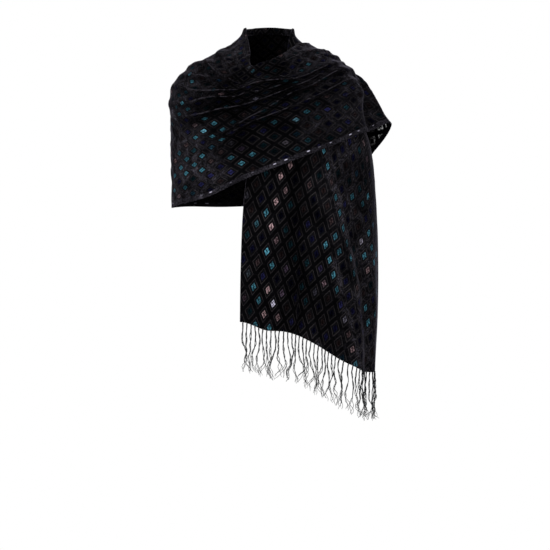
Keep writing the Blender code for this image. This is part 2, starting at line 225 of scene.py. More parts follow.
# Bands along the cloth, laid like the creases: painted glints where the rose and teal threads are
# painted as catching the light, painted sheen where the pile is painted pale (the nap bands),
# painted shade, and where the ground is sheer. The first number is how far a band reaches to each
# side, as a share of the width, and the second is how strong it is.
BANDS = {
    # Painted glints: the rose threads are painted bright in these bands
    "rose": (
        ("panel glints", ((-1, 0.17), (0.9, 0.18), (1.5, 0.16), (3.0, 0.19), (5, 0.24)),
         0.036, 1.5),
        ("blade glints", ((9.0, 0.30), (11.5, 0.38), (14.0, 0.28)), 0.05, 0.35),
        ("back glints", ((25.0, 0.30), (27.5, 0.33), (30, 0.34)), 0.06, 0.8),
    ),
    # Painted glints: the teal threads are painted bright in these bands
    "teal": (
        ("panel glints low", ((-1, 0.10), (0.4, 0.11), (1.0, 0.10)), 0.07, 0.5),
        ("step glints", ((0.9, 0.84), (1.3, 0.765), (1.58, 0.68), (2.1, 0.61), (2.66, 0.56),
         (3.3, 0.475), (4.4, 0.35)), 0.026, 1.7),
        ("low step glints", ((-1, 0.90), (0.12, 0.73), (0.53, 0.68), (0.96, 0.61), (1.41, 0.55),
         (2.0, 0.475)), 0.024, 1.4),
        ("side glints", ((0.8, 0.96), (2.2, 0.84), (3.2, 0.74), (4.2, 0.70)), 0.07, 0.62),
        ("under arm glints", ((14.6, 0.86), (15.9, 0.80), (16.5, 0.76), (17.2, 0.78), (18.2, 0.90)),
         0.15, 0.74),
        ("arm glints", ((15.2, 0.42), (16.1, 0.50), (16.8, 0.54), (17.5, 0.64)), 0.12, 0.66),
        ("chest glints", ((17.3, 0.60), (18.6, 0.62), (19.7, 0.66), (20.8, 0.72)), 0.05, 0.36),
        ("hem glints", ((17.2, 0.93), (18.6, 0.92), (20.2, 0.86)), 0.05, 0.25),
        ("shoulder glints", ((19.0, 0.22), (20.2, 0.24), (21.2, 0.24)), 0.05, 0.5),
        ("nape glints", ((8.5, 0.52), (11, 0.66), (13.8, 0.56)), 0.09, 0.5),
        ("back fold glints", ((24.8, 0.60), (27.0, 0.62), (30, 0.66)), 0.05, 0.8),
    ),
    # Painted sheen: the pile is painted pale and mottled in these bands
    "nap": (
        ("arm sheen", ((13.6, 0.84), (15.4, 0.82), (16.3, 0.84), (17.3, 0.92)), 0.24, 1.0),
        ("shoulder sheen", ((14.0, 0.24), (15.4, 0.28), (16.5, 0.22)), 0.27, 1.05),
        ("thrown sheen", ((19.2, 0.10), (20.6, 0.22), (21.8, 0.46), (22.8, 0.46)), 0.30, 1.1),
        ("low thrown sheen", ((19.4, 0.72), (20.4, 0.76), (21.3, 0.84)), 0.16, 0.45),
        ("panel side sheen", ((-1, 0.90), (1.2, 0.84), (2.4, 0.76), (3.4, 0.68)), 0.17, 0.32),
        ("upper side sheen", ((2.8, 0.66), (3.6, 0.60), (4.8, 0.56)), 0.13, 0.62),
        ("fold sheen", ((0.3, 0.79), (1.3, 0.745), (1.74, 0.69), (2.3, 0.635), (3.1, 0.53),
         (4.0, 0.43)), 0.034, 0.95),
        ("low fold sheen", ((-1, 0.86), (0.35, 0.735), (0.8, 0.67), (1.2, 0.61), (1.6, 0.56)),
         0.03, 0.75),
        ("flare sheen", ((21.8, 0.88), (22.8, 0.84), (23.8, 0.82)), 0.16, 0.34),
        ("nape sheen", ((8.6, 0.62), (11.2, 0.80), (14.2, 0.72)), 0.20, 0.7),
        ("back sheen", ((25.0, 0.80), (27.0, 0.82), (30, 0.86)), 0.12, 0.8),
    ),
    # Painted shade: the cloth is painted darker in these bands
    "shade": (
        ("chest shade", ((16.2, 0.30), (17.8, 0.34), (19.2, 0.32), (20.8, 0.34)), 0.20, 0.84),
        ("collar shade", ((17.4, 0.12), (18.8, 0.10), (20.4, 0.12)), 0.12, 0.5),
        ("low chest shade", ((17.4, 0.64), (18.8, 0.64), (20.4, 0.60)), 0.12, 0.5),
        ("panel shade", ((-1, 0.34), (1.6, 0.32), (4.6, 0.24)), 0.06, 0.55),
        ("flare shade", ((22.1, 0.80), (22.9, 0.80), (23.6, 0.82), (24.2, 0.84)), 0.20, 0.15),
    ),
    "sheer": (
        ("sheer corner", ((24.0, 0.96), (24.5, 0.95), (24.8, 0.94)), 0.05, 0.85),
    ),
}
BAND_END = 0.6

# A crisp crest's painted pale highlight line, the painted shade below it, and how much cloth its
# crease takes up
CREASE_SHADE = 0.8
CREST_LINE = 5.0 * MM
CREST_FULL_RISE = 8.0
CREST_SOFTEST = 1.6
SHADE_BELOW = 6.0 * MM
SHADE_REACH = 8.0 * MM
CREASE_TAKES = 12 * MM
CREASE_PINCH = (-4 * MM, 18 * MM)
CREASE_EASE = 1.6

# How many times closer the pattern lies where the cloth is gathered, by section
GATHERS = (
    (14.0, 1.05), (15.2, 1.35), (16.4, 1.42), (17.4, 1.25), (19.0, 1.18), (22.5, 1.16),
    (24, 1.05),
)

# How the weave lies: the lean of the warp and the fall of the weft, in degrees off the plumb line
# and the level, at the neck edge and the outer edge of the front end and on the crossing. The
# other pairs are where they turn, as shares of the width and as sections.
PANEL_WARP = (8.4, 13.5)
PANEL_WEFT = (10.0, 24.0)
CROSSING_WARP = 8.0
PANEL_TURN = (0.1, 0.6)
PANEL_ENDS = (4.5, 6.5)
CROSSING_STARTS = (15, 16.5)
CROSSING_ENDS = (22.6, 24)

# The pattern's place on the cloth is worked out in rounds, with a limit to how far it stretches
MOST_STRETCH = 2
SOLVER_ROUNDS = 900
SOLVER_ENDS_AT = 1e-14

# Parts of a diamond, as shares of half a repeat from its middle, and how its edges wobble
OUTLINE_OUTER = 0.345
OUTLINE_INNER = 0.323
THREAD_EDGE = 0.168
THREAD_BLUR = 0.02
EDGE_BLUR = 0.010
DIAMOND_MIDDLE = 0.25
WOBBLE = 0.05
WOBBLE_SCALE = 260.0
CELL_SEED = 4.0

# Smooth ramps of the finishes: from and to, and what they give there if not 0 and 1
RAMPS = {
    "worn outline": (0.35, 0.6, 0.45, 1.0),
    "thread lit": (-0.08, 0.08),
    "thread grain": (0.35, 0.65, 0.7, 1.15),
    "thread flecks": (0.38, 0.60, 0.22, 1.6),
    "mark across": (0.085, 0.03),
    "mark along": (0.22, 0.14),
    "pile mottle": (0.42, 0.58, 0.06, 1.22),
    "pile scratches": (0.008, 0.06),
    "pile flecks": (0.40, 0.60, 0.05, 1.65),
    "rim inside": (0.345, 0.360),
    "rim outside": (0.445, 0.385),
    "worn rim": (0.40, 0.52, 0.60, 1.0),
    "crest line": (0.0013, 0.0001),
    "broken crest": (0.40, 0.62, 0.05, 1.0),
    "crest flecks": (0.34, 0.60, 0.3, 1.2),
    "coarse line": (0.020, 0.002),
    "fine line": (0.026, 0.004),
    "slow light": (0.3, 0.7, 0.45, 1.25),
    "sparkle along": (0.16, 0.09),
    "sparkle inside": (0.38, 0.34),
    "sparkle chance": (0.10, 0.85, 0.0, 0.50),
    "sheer flecks": (0.40, 0.56, 0.1, 1.0),
    "yarn glint": (0.62, 0.67),
}

# Colours that threads have by chance, dim or painted as glints: where each step starts, its colour
# and how much of it
DIM_THREADS = (
    (0.0, "violet", 0.03), (0.30, "violet", 0.08), (0.48, "rose", 0.016), (0.62, "teal", 0.012),
    (0.72, "violet", 0.16), (0.84, "teal", 0.036), (0.92, "rose", 0.045), (0.97, "silver", 0.03),
)
# Painted glints: bright colours of threads painted as lit in the teal and rose bands
COOL_GLINTS = (
    (0.0, "teal", 0.30), (0.20, "teal", 0.22), (0.50, "teal", 0.13), (0.72, "violet", 0.30),
    (0.82, "rose", 0.16), (0.92, "silver", 0.10),
)
WARM_GLINTS = (
    (0.0, "rose", 0.42), (0.38, "rose", 0.21), (0.66, "silver", 0.50), (0.74, "teal", 0.62),
    (0.88, "teal", 0.25),
)

# The small mark woven into each thread patch: how often and how far it bends, and how dark it is
MARK_BENDS = 18.0
MARK_BEND = 0.07
MARK_DEPTH = 0.92

# Noises of the nap: how many times finer than its patches each is, its detail and distortion
NAP_NOISES = {"Patches": (1.0, 4.0, 1.2), "Scratches": (2.2, 3.0, 2.0), "Flecks": (9.0, 2.0, 0.8)}
PATCH_SCALE = 40.0
SLOW_PATCH_SCALE = 11.0
GRAIN_SCALE = 1400.0
YARN_PATCH_SCALE = 3.4
YARN_GRAIN_SCALE = 60.0

# How much of each finish, the painted sheen, painted crest highlight and painted shade shows, and
# how soft the selvedge's inner line is
SELVEDGE_BLUR = 0.7 * MM
SELVEDGE_SHEEN = 0.36
GROUND_SHEEN = 0.16
CREST_SHOWS = 0.9
SHADE_DEPTH = 0.8
SHEER_MOST = 0.75
SHEER_LEAST = 0.02
REVERSE_SHOWS = 0.3

# Crushed lines: where they lie in the scratches, and how much they show on the painted sheen bands
# and on pile
COARSE_LINE_AT = 0.5
FINE_LINE_AT = 0.43
FINE_LINE_SHOWS = 0.8
LINES_ANYWHERE = 0.06
LINES_ON_SHEEN = 0.80
LINES_ON_GROUND = 0.25
LINES_ON_PILE = 0.75

# Loose threads are painted as sparkles in a band this far outside the pattern, which fades at both
# sides
SPARKLE_OUTER = (4.2 * MM, 3.4 * MM)
SPARKLE_INNER = (1.6 * MM, 2.4 * MM)

# Gloss and height of pile, thread and yarn. Heights of thread and grain are shares of the pile's.
VELVET_GLOSS = {
    "Specular IOR Level": 0.0,
    "Specular Tint": (0.30, 0.30, 0.32, 1),
    "Sheen Roughness": 0.28,
    "Sheen Tint": (0.62, 0.58, 0.72, 1),
}
VELVET_SHEEN = 0.12
THREAD_METALLIC = 0.35
THREAD_ROUGHNESS = 0.42
PILE_ROUGHNESS = 0.85
PILE_HEIGHT = 0.6 * MM
PILE_BUMP = 0.5
THREAD_HEIGHT = 0.5
GRAIN_HEIGHT = 0.35
YARN_METALLIC = 0.8
YARN_ROUGHNESS = 0.8
GLINT_ROUGHNESS = 0.38
YARN_GLOSS = 0.2
YARN_GRAIN = 0.3 * MM
YARN_BUMP = 0.6

# Fringes: yarns in each lock, and the sides, steps and twist of each yarn. The way that the
# cloth hangs on from its end is taken over a part of a section.
PLIES = 3
YARN_SIDES = 3
YARN_STEPS = 20
YARN_ASIDE = (0.31, 0.95, 0.05)
YARN_TURN = 12.0
YARN_REPEATS = (40, 12)
TIP_THINNER = 0.45
EDGE_STEP = 0.25

# How a lock hangs: how long, where it starts and turns down, how it twists, drifts and opens,
# and its knot
HANG = 0.90
HANG_UNEVEN = 0.10
ROOT_INSIDE = 2 * MM
TURNED_DOWN_BY = 0.22
LOCK_TWISTS = 3.2
LOCK_APART = 0.37
LOCK_TIGHT = 0.8 * MM
LOCK_LOOSER = 1.6 * MM
LOCK_OPENS_FROM = 0.5
LOCK_DRIFT = 16 * MM
LOCK_BENDS = 2.2
YARN_CURL = 9 * MM
YARN_BENDS = 6.0
YARN_SPREAD = 16 * MM
YARN_SPREADS_FROM = 0.60
KNOT_RADIUS = 1.5 * MM
KNOT_TALLER = 1.3
KNOT_BELOW = 1 * MM

# The studio: lamps with their power as a share of the main one's, and what they point at
Lamp = namedtuple("Lamp", "name place size power")
LAMPS = [Lamp(*row) for row in (
    ("key", (-1.6, -2.6, 1.3), 1.4, 1.0),
    ("fill", (2.2, -2.4, 0.2), 1.6, 0.5),
    ("back", (0.6, 2.4, 1.4), 1.8, 0.5),
)]
LAMPS_AIM = (0.02, 0, -0.3)
FLOOR_RADIUS = 3.3
FLOOR_SIDES = 96
FLOOR_ROUGHNESS = 0.9

# The photograph's frame: metres for each pixel at the figure, its middle, and how far away it is
PIXEL = 2.03 * MM
IMAGE_PIXELS = 550
VIEW_CENTRE = (6 * PIXEL, -215 * PIXEL)
VIEW_DISTANCE = 4.5
SENSOR = 36
LENS = SENSOR / (IMAGE_PIXELS * PIXEL) * VIEW_DISTANCE


def metres(name, description, default, **limits):
    """A length that can be changed, in metres."""
    given = {"name": name, "description": description, "default": default}
    return FloatProperty(**given, unit="LENGTH", **limits)


def tint(name, description, default):
    """A colour that can be changed."""
    given = {"name": name, "description": description, "default": default}
    return FloatVectorProperty(**given, subtype="COLOR", min=0, max=1)


class StoleSizes(bpy.types.PropertyGroup):
    """Sizes of the cloth, its pattern and its fringes"""

    thickness: metres("Thickness", "Thickness of the cloth", 1.0 * MM, min=0.4 * MM, max=2.0 * MM)
    width: metres(
        "Shown width", "Width of the cut that shows, apart from what is gathered out of sight", 0.4
    )
    length: metres("Cut length", "Length of the cut cloth", 2.0)
    repeat_along: metres(
        "Repeat along", "Height of one diamond of the pattern, along the cloth", 48.5 * MM
    )
    repeat_across: metres(
        "Repeat across", "Width of one diamond of the pattern, across the cloth", 29.5 * MM
    )
    selvedge: metres("Selvedge", "Width of the plain band along the long edges", 10 * MM)
    fringe_length: metres("Fringe length", "Length of the fringe", 105 * MM)
    fringe_locks: IntProperty(
        name="Fringe locks", description="Knotted locks in each fringe", default=40, min=8, max=60
    )
    yarn: metres("Yarn", "Thickness of one yarn", 1.6 * MM)


class StoleColours(bpy.types.PropertyGroup):
    """Colours of the velvet, the threads and the yarn"""

    velvet: tint("Velvet", "Pile of the velvet", (0.0010, 0.0010, 0.0012))
    ground: tint("Ground", "Sheer ground of the diamonds", (0.0020, 0.0020, 0.0024))
    outline: tint("Outline", "Thin line round each diamond", (0.0205, 0.0180, 0.0190))
    # Painted sheen: the colour of the pile where sheen is painted, also on the plain selvedge band
    brushed: tint("Painted pile sheen", "Pile where it is brushed pale", (0.0265, 0.0245, 0.0310))
    # Painted highlight: the pale colour painted along crisp crests and on crushed lines
    crest: tint("Crest", "Pile along the crest of a crease", (0.021, 0.019, 0.0235))
    teal: tint("Teal thread", "Teal metallic thread", (0.090, 0.315, 0.42))
    rose: tint("Rose thread", "Dusty pink metallic thread", (0.44, 0.29, 0.31))
    violet: tint("Violet thread", "Blue-violet metallic thread", (0.030, 0.030, 0.115))
    silver: tint("Silver thread", "Pale metallic thread", (0.55, 0.52, 0.66))
    yarn: tint("Yarn", "Twisted yarn of the fringes", (0.003, 0.003, 0.0035))
    yarn_glint: tint("Yarn glint", "Metallic glint in the yarn", (0.42, 0.46, 0.49))


class StoleStudio(bpy.types.PropertyGroup):
    """The studio round the stole"""

    floor: tint("Floor", "Floor of the studio", (0.86, 0.86, 0.86))
    floor_drop: metres("Floor drop", "Height of the shoulders above the floor", 1.45)
    key_power: FloatProperty(
        name="Key light", description="Power of the main light", default=110, unit="POWER"
    )


def numbers_of(rows):
    """The number columns of a table, as an array."""
    return np.array([row[1:] for row in rows], float)


def between_rows(table, at):
    """Values between the rows of a table, on a smooth curve through them."""
    at = np.atleast_1d(np.asarray(at, float))
    last = len(table) - 1
    i = np.clip(np.floor(at).astype(int), 0, last - 1)
    f = (at - i)[:, None]
    p1, p2 = table[i], table[i + 1]
    p0 = np.where(i[:, None] > 0, table[np.maximum(i - 1, 0)], 2 * p1 - p2)
    p3 = np.where(i[:, None] < last - 1, table[np.minimum(i + 2, last)], 2 * p2 - p1)
    return p1 + f * (
        (p2 - p0) / 2
        + f * ((2 * p0 - 5 * p1 + 4 * p2 - p3) / 2 + f * (3 * p1 - p0 - 3 * p2 + p3) / 2)
    )


RING_TABLE = numbers_of(RINGS)
SECTION_TABLE = numbers_of(SECTIONS)


def figure_points(azimuth, ring):
    """Points of the general figure at azimuths in degrees and ring numbers."""
    left, right, front, back, z_side, z_front, z_back, square = between_rows(RING_TABLE, ring).T
    angle = np.radians(azimuth)
    c, s = np.cos(angle), np.sin(angle)
    grow = (np.abs(c) ** square + np.abs(s) ** square) ** (-1 / square)
    to_right = (1 + c * np.abs(c) ** 0.5) / 2
    x = (left + (right - left) * to_right) * c * grow
    y = np.where(s > 0, back, front) * s * grow
    z = z_side * c**2 + np.where(s > 0, z_back, z_front) * s**2
    return np.stack([x, y, z], axis=-1) * MM


def unit(vectors):
    """Vectors scaled to length 1."""
    return vectors / np.maximum(np.linalg.norm(vectors, axis=-1, keepdims=True), 1e-12)


def figure_normals(azimuth, ring):
    """Outward unit normals of the figure."""
    da, dr = 0.5, 0.02
    round_it = figure_points(azimuth + da, ring) - figure_points(azimuth - da, ring)
    down_it = figure_points(azimuth, ring + dr) - figure_points(azimuth, ring - dr)
    return unit(np.cross(down_it, round_it))


def smooth(values, low, high):
    """A smooth rise from 0 at low to 1 at high."""
    f = np.clip((np.asarray(values, float) - low) / (high - low), 0, 1)
    return f * f * (3 - 2 * f)


def hem_line(section, share):
    """How far down from the neck edge's ring to the outer one shares lie: the hem is stepped."""
    stepped = HEM_STEP_AMOUNT * smooth(share, HEM_STEP_FROM, HEM_STEP_TO)
    stepped = stepped + HEM_CORNER_AMOUNT * smooth(share, 0, HEM_CORNER_TO)
    stepped = stepped + (1 - HEM_STEP_AMOUNT - HEM_CORNER_AMOUNT) * share
    much = np.clip(1 - section / HEM_STEP_SECTIONS, 0, 1)
    return share + (stepped - share) * much


def running(steps, axis=0):
    """The sums of steps so far along an axis, from 0 at its start."""
    return np.concatenate([np.zeros_like(steps.take([0], axis)), np.cumsum(steps, axis)], axis)


def section_points(section, shares):
    """Points of the smooth cloth on one section, at shares of its width, and the ways out there."""
    row = between_rows(SECTION_TABLE, section)[0]
    neck_az, neck_ring, outer_az, outer_ring, neck_lift, outer_lift = row

    def place(at):
        ring = neck_ring + (outer_ring - neck_ring) * hem_line(section, at)
        return neck_az + (outer_az - neck_az) * at, ring

    fine = np.linspace(0, 1, SECTION_SAMPLES)
    steps = np.linalg.norm(np.diff(figure_points(*place(fine)), axis=0), axis=1)
    reach = running(steps)
    at = np.interp(np.asarray(shares) * reach[-1], reach, fine)
    lift = (neck_lift + (outer_lift - neck_lift) * at**LIFT_POWER) * MM
    out = figure_normals(*place(at))
    return figure_points(*place(at)) + out * lift[:, None], out


def wander(values, seed):
    """Slow unevenness of about -1 to 1 along values, the same each run."""
    return np.array([noise.noise((float(v), seed * 7.3, 1.7)) for v in values]) * WANDER_MUCH


def curve_through(first, middle, last, at):
    """The quadratic curve that has three values at 0, a half and 1."""
    return (
        first * (1 - at) * (1 - 2 * at) + middle * 4 * at * (1 - at) + last * at * (2 * at - 1)
    )


def line_on_cloth(places, sections, soft_from, soft_to):
    """Shares across the cloth where a smooth line through places crosses the sections, the
    sections that it goes from and to, and how strong it is, with both ends softened."""
    places = np.array(places, float)
    first, last = places[0, 0], places[-1, 0]
    at = np.interp(sections, places[:, 0], np.arange(len(places)))
    line = between_rows(places[:, 1:], at)[:, 0]
    start = smooth(sections, first + soft_from, first + soft_to)
    end = smooth(-sections, -last + soft_from, -last + soft_to)
    return line, first, last, start * end


def crease_heights(sections, shares, widths):
    """What the creases do: how far they move the cloth outwards and tip it down, in metres, how far
    the nearest crest is and how strong, how deep the shade below the crests is, and how much cloth
    the creases above each place have taken up."""
    rise, tip, shade, strong, taken = np.zeros((5, len(sections), len(shares)))
    crest = np.ones_like(rise)
    ease = np.exp(-(((sections[:, None] - sections[None]) / CREASE_EASE) ** 2))
    ease /= ease.sum(axis=1, keepdims=True)
    for number, crease in enumerate(CREASES):
        line, first, last, ends = line_on_cloth(crease.places, sections, 0, CREASE_END)
        inside = (sections > first - CREASE_PAST_END) & (sections < last + CREASE_PAST_END)
        ends = ends * inside
        along = np.clip((sections - first) / (last - first), 0, 1)
        uneven = 1 + CREASE_UNEVEN * wander(sections * RISE_WANDERS, number)
        height = curve_through(*crease.rises, along) * MM * ends * uneven
        slope = np.gradient(line * widths, sections * SECTION_STEP)
        aside = (shares[None] - line[:, None]) * widths[:, None]
        aside = aside + CREASE_WANDER * wander(sections * LINE_WANDERS, number + 0.5)[:, None]
        aside = aside / np.sqrt(1 + slope[:, None] ** 2)
        away = np.sqrt(aside**2 + CREST_RADIUS**2) - CREST_RADIUS
        reach = np.where(aside < 0, crease.above, crease.below) * MM
        shape = np.exp(-((away / reach) ** crease.crispness))
        rise += height[:, None] * shape
        tip += (crease.lean * MM) * ends[:, None] * shape**2
        if crease.crispness < CREST_SOFTEST and height.max() > 0:
            much = np.clip(height / (CREST_FULL_RISE * MM), 0, 1)[:, None]
            near = much * np.exp(-((aside / CREST_LINE) ** 2))
            crest = np.where(near > strong, aside, crest)
            strong = np.maximum(strong, near)
            shade = np.maximum(shade, much * np.exp(-(((aside - SHADE_BELOW) / SHADE_REACH) ** 2)))
            taken += CREASE_TAKES * (ease @ much) * smooth(aside, *CREASE_PINCH)
    return rise, tip, crest, strong, shade, taken


def band_values(kind, sections, shares):
    """How strong the bands of one kind are over the cloth."""
    total = np.zeros((len(sections), len(shares)))
    for _, places, reach, much in BANDS[kind]:
        line, _, _, ends = line_on_cloth(places, sections, -BAND_END / 2, BAND_END / 2)
        aside = (shares[None] - line[:, None]) / reach
        total = np.maximum(total, much * ends[:, None] * np.exp(-(aside**2)))
    return total


def one_for_each_diamond(values, across, along, sizes):
    """Values evened out over each diamond of the pattern, so that none is lit in part."""
    x, y = across / sizes.repeat_across, along / sizes.repeat_along
    cells = np.stack([np.floor(x + y + 0.5), np.floor(x - y + 0.5)], -1).astype(int)
    _, number = np.unique(cells.reshape(-1, 2), axis=0, return_inverse=True)
    number = number.ravel()
    off = np.maximum(np.abs(x + y - cells[..., 0]), np.abs(x - y - cells[..., 1]))
    weight = np.exp(-((off / DIAMOND_MIDDLE) ** 2)).ravel()
    mean = np.bincount(number, values.ravel() * weight) / np.bincount(number, weight)
    return mean[number].reshape(values.shape)


def crumple_heights(sections, shares, widths):
    """Small ridged unevenness between the creases, in metres."""
    total = np.zeros((len(sections), len(shares)))
    for number, crumple in enumerate(CRUMPLES):
        near_s = (sections[:, None] - crumple.section) / crumple.sections
        near_t = (shares[None] - crumple.share) / crumple.shares
        much = np.clip(1 - near_s**2, 0, 1) * np.clip(1 - near_t**2, 0, 1)
        for i, j in zip(*np.nonzero(much > 0)):
            x = sections[i] * SECTION_STEP / MM / crumple.long
            y = shares[j] * widths[i] / MM / crumple.wide
            wave = noise.noise((x, y, number * 5.1)) + 0.5 * noise.noise((2 * x, 2 * y, 3.3))
            high = CRUMPLE_TOP - CRUMPLE_RIDGE * abs(wave)
            total[i, j] += much[i, j] * crumple.height * MM * high
    return total


def cloth_surface(sections, shares):
    """The smooth cloth and the creased cloth, as grids of points, and marks of the creases."""
    rows = [section_points(s, shares) for s in sections]
    plain, out = (np.array(grid) for grid in zip(*rows))
    widths = np.linalg.norm(np.diff(plain, axis=1), axis=2).sum(axis=1)
    rise, tip, *marks = crease_heights(sections, shares, widths)
    rise += crumple_heights(sections, shares, widths)
    across = unit(np.gradient(plain, axis=1))
    return plain, plain + out * rise[..., None] + across * tip[..., None], marks


def dot(a, b):
    """The dot products of two grids of vectors, kept as a last axis of one."""
    return (a * b).sum(-1, keepdims=True)


def weave_directions(plain, sections, shares):
    """The ways that warp and weft lie on the smooth cloth, as unit vectors along its surface."""
    along = unit(np.gradient(plain, axis=0))
    across = unit(np.gradient(plain, axis=1))
    out = unit(np.cross(along, across))
    square = unit(across - along * dot(along, across))
    up = np.array([0, 0, 1.0])
    up = unit(up - out * out[..., 2:])
    level = np.cross(out, up)
    share = smooth(shares, *PANEL_TURN)[None, :, None]
    lean, fall = (
        np.radians(inner + (outer - inner) * share) for inner, outer in (PANEL_WARP, PANEL_WEFT)
    )
    side = level * np.sign(dot(level, across))
    panel_warp = up * np.cos(lean) + side * np.sin(lean)
    panel_weft = side * np.cos(fall) - up * np.sin(fall)
    ahead = level * np.sign(dot(level, along))
    tilt = math.radians(CROSSING_WARP)
    crossing_warp = ahead * math.cos(tilt) + up * math.sin(tilt)
    on_panel = 1 - smooth(sections, *PANEL_ENDS)
    on_crossing = smooth(sections, *CROSSING_STARTS) * (1 - smooth(sections, *CROSSING_ENDS))
    on_panel, on_crossing = on_panel[:, None, None], on_crossing[:, None, None]
    warp = along * (1 - on_panel - on_crossing) + panel_warp * on_panel
    weft = square * (1 - on_panel - on_crossing) + panel_weft * on_panel
    return unit(warp + crossing_warp * on_crossing), unit(weft - up * on_crossing)


def weave_steps(points, warp, weft, axis):
    """Steps along warp and weft from each point of a grid to the next along an axis."""
    count = points.shape[axis]
    before, after = (
        [grid.take(range(start, count - 1 + start), axis) for grid in (points, warp, weft)]
        for start in (0, 1)
    )
    step = after[0] - before[0]
    w, f = unit(before[1] + after[1]), unit(before[2] + after[2])
    wf = (w * f).sum(-1)
    sw, sf = (step * w).sum(-1), (step * f).sum(-1)
    even = 1 / (1 - wf**2)
    a, b = (sw - wf * sf) * even, (sf - wf * sw) * even
    flat = np.linalg.norm(w * a[..., None] + f * b[..., None], axis=-1)
    stretch = np.clip(np.linalg.norm(step, axis=-1) / np.maximum(flat, 1e-9), 1, MOST_STRETCH)
    return a * stretch, b * stretch


def gathered(along, across):
    """What the steps along a grid's two axes leave at each point, for the least squares below."""
    total = np.zeros((across.shape[0], along.shape[1]))
    total[1:] += along
    total[:-1] -= along
    total[:, 1:] += across
    total[:, :-1] -= across
    return total


def coordinate_from(along, across):
    """The values on a grid whose steps come nearest the given ones, by conjugate gradients."""
    values = running(along.mean(axis=1))[:, None] + running(across.mean(axis=0))[None]
    left = gathered(along - np.diff(values, axis=0), across - np.diff(values, axis=1))
    way = left.copy()
    size = (left * left).sum()
    for _ in range(SOLVER_ROUNDS):
        pushed = gathered(np.diff(way, axis=0), np.diff(way, axis=1))
        much = size / max((way * pushed).sum(), 1e-30)
        values += much * way
        left -= much * pushed
        new_size = (left * left).sum()
        if new_size < SOLVER_ENDS_AT:
            break
        way = left + way * (new_size / size)
        size = new_size
    return values - values[0, 0]


def gather_along(along, sections):
    """Cloth coordinates along the length, with more cloth where it is gathered."""
    places, factors = np.array(GATHERS).T
    factor = np.interp(sections, [places[0] - 1, *places, places[-1] + 1], [1, *factors, 1])
    steps = np.diff(along, axis=0) * ((factor[1:] + factor[:-1]) / 2)[:, None]
    return along[:1] + running(steps)


def turned_edge(points):
    """The columns of cloth that are turned under along the neck edge, nearest the edge last."""
    edge = points[:, 0]
    inward = unit(points[:, 3] - edge)
    under = unit(np.cross(unit(np.gradient(edge, axis=0)), inward))
    below = edge + 2 * under * TURNED_RADIUS
    bend = edge + (under - inward) * TURNED_RADIUS
    flap = [below + inward * TURNED_WIDTH * much for much in (1, 0.5)]
    return np.stack([*flap, below, bend], axis=1)


def add_turned(grid, offset=0.0):
    """A grid of values with the turned-under columns put first, going on from the neck edge."""
    turned = np.repeat(grid[:, :1], len(TURNED_BEYOND), axis=1) + offset
    return np.concatenate([turned, grid], axis=1)


def mesh_of(shape, name):
    """A smooth mesh made from a bmesh, which is freed."""
    mesh = bpy.data.meshes.new(name)
    shape.to_mesh(mesh)
    shape.free()
    mesh.shade_smooth()
    return mesh


def placed(name, data):
    """A new object in the scene."""
    made = bpy.data.objects.new(name, data)
    bpy.context.scene.collection.objects.link(made)
    return made


def mesh_from_grid(name, points):
    """A mesh object whose vertices are a grid of points."""
    rows, columns = points.shape[0] - 1, points.shape[1] - 1
    grid = bmesh.new()
    row_key = grid.verts.layers.int.new("row")
    column_key = grid.verts.layers.int.new("column")
    bmesh.ops.create_grid(grid, x_segments=columns, y_segments=rows, size=0.5)
    for vertex in grid.verts:
        column = round((vertex.co.x + 0.5) * columns)
        row = round((vertex.co.y + 0.5) * rows)
        vertex[row_key], vertex[column_key] = row, column
        vertex.co = points[row, column]
    return placed(name, mesh_of(grid, name))


def grid_values(mesh, values):
    """Values of a grid in the order of a mesh's vertices."""
    at = np.zeros((2, len(mesh.vertices)), np.int32)
    for key, numbers in zip(("row", "column"), at):
        mesh.attributes[key].data.foreach_get("value", numbers)
    return values[at[0], at[1]]


def set_uv(mesh, across, along):
    """Gives a grid's mesh its cloth coordinates as a UV map."""
    corner = np.zeros(len(mesh.loops), np.int32)
    mesh.loops.foreach_get("vertex_index", corner)
    pairs = np.stack([grid_values(mesh, across)[corner], grid_values(mesh, along)[corner]], -1)
    layer = mesh.uv_layers.new(name="cloth")
    layer.data.foreach_set("uv", pairs.astype(np.float32).ravel())


def set_attribute(mesh, name, values):
    """Gives a grid's mesh a number at each vertex."""
    made = mesh.attributes.new(name, "FLOAT", "POINT")
    made.data.foreach_set("value", grid_values(mesh, values).astype(np.float32))


class Output:
    """An output of a shader node. Plain arithmetic on it makes more nodes."""

    def __init__(self, socket):
        self.socket = socket
        self.tree = socket.id_data

    def __add__(self, other):
        return calc("ADD", self, other)

    def __sub__(self, other):
        return calc("SUBTRACT", self, other)

    def __rsub__(self, other):
        return calc("SUBTRACT", other, self)

    def __mul__(self, other):
        return calc("MULTIPLY", self, other)

    def __truediv__(self, other):
        return calc("DIVIDE", self, other)

    def __abs__(self):
        return calc("ABSOLUTE", self)

    def ramp(self, low, high, at_low=0.0, at_high=1.0):
        """The output of a smooth Map Range node."""
        made = node(self.tree, "ShaderNodeMapRange", interpolation_type="SMOOTHSTEP", clamp=True)
        keys = ("Value", "From Min", "From Max", "To Min", "To Max")
        for key, given in zip(keys, (self, low, high, at_low, at_high)):
            feed(made.inputs[key], given)
        return Output(made.outputs["Result"])

    def through(self, name):
        """What one of the ramps in the table gives."""
        return self.ramp(*RAMPS[name])


def feed(socket, value):
    """Links a socket to an output, or gives it a plain value."""
    if isinstance(value, Output):
        socket.id_data.links.new(value.socket, socket)
    else:
        socket.default_value = value


def node(tree, kind, inputs=(), **settings):
    """A new node, with its settings and its inputs given by name."""
    made = tree.nodes.new(kind)
    for key, value in settings.items():
        setattr(made, key, value)
    for key, value in dict(inputs).items():
        feed(made.inputs[key], value)
    return made


